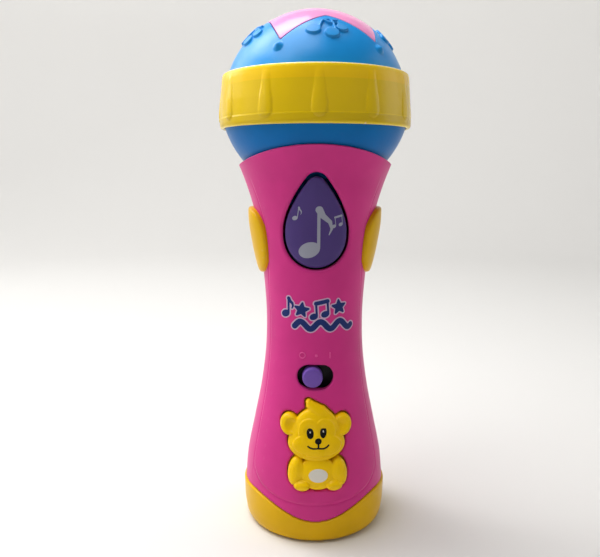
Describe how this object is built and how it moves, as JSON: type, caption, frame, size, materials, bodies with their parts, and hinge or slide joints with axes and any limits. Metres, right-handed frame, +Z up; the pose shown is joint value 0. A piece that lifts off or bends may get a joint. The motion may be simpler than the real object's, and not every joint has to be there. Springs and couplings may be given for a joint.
{
  "type": "toy microphone",
  "caption": "Toy microphone standing on its base: flared handle with a drop-shaped button, an animal button, a slide switch and side pads, and a round head with a light band and star window.",
  "frame": {"origin": "centre of the flat underside of the base cap, on the surface the toy stands on", "axes": "+Z up along the handle to the top of the head, -Y out of the front with the buttons, +X to the right seen from the front"},
  "size_m": [0.0802, 0.0802, 0.2172],
  "materials": {
    "handle_pink": "satin moulded plastic",
    "dome_blue": "glossy moulded plastic",
    "trim_yellow": "glossy moulded plastic",
    "band_clear_yellow": "clear tinted plastic",
    "star_clear_pink": "clear tinted plastic",
    "button_purple": "satin moulded plastic",
    "knob_violet": "satin moulded plastic",
    "black_plastic": "matte",
    "grey_plastic": "matte",
    "white_plastic": "matte",
    "board_green": "solder mask",
    "steel": "plated",
    "silicone": "matte",
    "cell_jacket": "printed sleeve",
    "wire_red": "wire insulation",
    "lamp_clear": "clear"
  },
  "bodies": {
    "case": {"animal_rubber_dome": "silicone", "base_cap": "trim_yellow", "base_screw_front": "steel", "base_screw_rear": "steel", "battery_lead_black": "black_plastic", "battery_lead_red": "wire_red", "battery_left": "cell_jacket", "battery_right": "cell_jacket", "battery_spring_left": "steel", "battery_spring_right": "steel", "battery_tray": "grey_plastic", "capacitor": "cell_jacket", "casing_screw_low_left": "steel", "casing_screw_low_right": "steel", "casing_screw_middle_left": "steel", "casing_screw_middle_right": "steel", "casing_screw_top_left": "steel", "casing_screw_top_right": "steel", "contact_bridge": "steel", "contact_left": "steel", "contact_right": "steel", "front_shell": "handle_pink", "lamp_board": "board_green", "lamp_front": "lamp_clear", "lamp_lead": "white_plastic", "lamp_left": "lamp_clear", "lamp_right": "lamp_clear", "left_side_pad": "trim_yellow", "light_band": "band_clear_yellow", "lower_dome": "dome_blue", "main_board": "board_green", "melody_rubber_dome": "silicone", "rear_shell": "handle_pink", "right_side_pad": "trim_yellow", "slide_switch": "steel", "sound_chip": "black_plastic", "speaker_basket": "grey_plastic", "speaker_cone": "black_plastic", "speaker_lead_black": "black_plastic", "speaker_lead_red": "wire_red", "star_lens": "star_clear_pink", "upper_dome": "dome_blue"},
    "melody_button": {"melody_button": "button_purple"},
    "animal_button": {"animal_button": "trim_yellow"},
    "power_slider": {"power_knob": "knob_violet", "slot_shutter": "black_plastic", "switch_lever": "white_plastic"},
    "battery_cover": {"battery_door": "handle_pink", "battery_door_screw": "steel"}
  },
  "joints": [
    {"name": "melody_button_press", "type": "slide", "parent": "case", "child": "melody_button", "axis": [0, 1, 0], "range_m": [0, 0.0015], "stiffness_N_per_m": 600, "springref_m": -0.0005, "deforming": ["melody_rubber_dome"]},
    {"name": "animal_button_press", "type": "slide", "parent": "case", "child": "animal_button", "axis": [0, 1, 0], "range_m": [0, 0.0012], "stiffness_N_per_m": 600, "springref_m": -0.0005, "deforming": ["animal_rubber_dome"]},
    {"name": "power_slide", "type": "slide", "parent": "case", "child": "power_slider", "axis": [1, 0, 0], "range_m": [0, 0.0024]},
    {"name": "battery_cover_swing", "type": "hinge", "parent": "case", "child": "battery_cover", "pos_m": [0, 0.0308, 0.0169], "axis": [-1, 0, 0], "range_deg": [0, 50]}
  ]
}
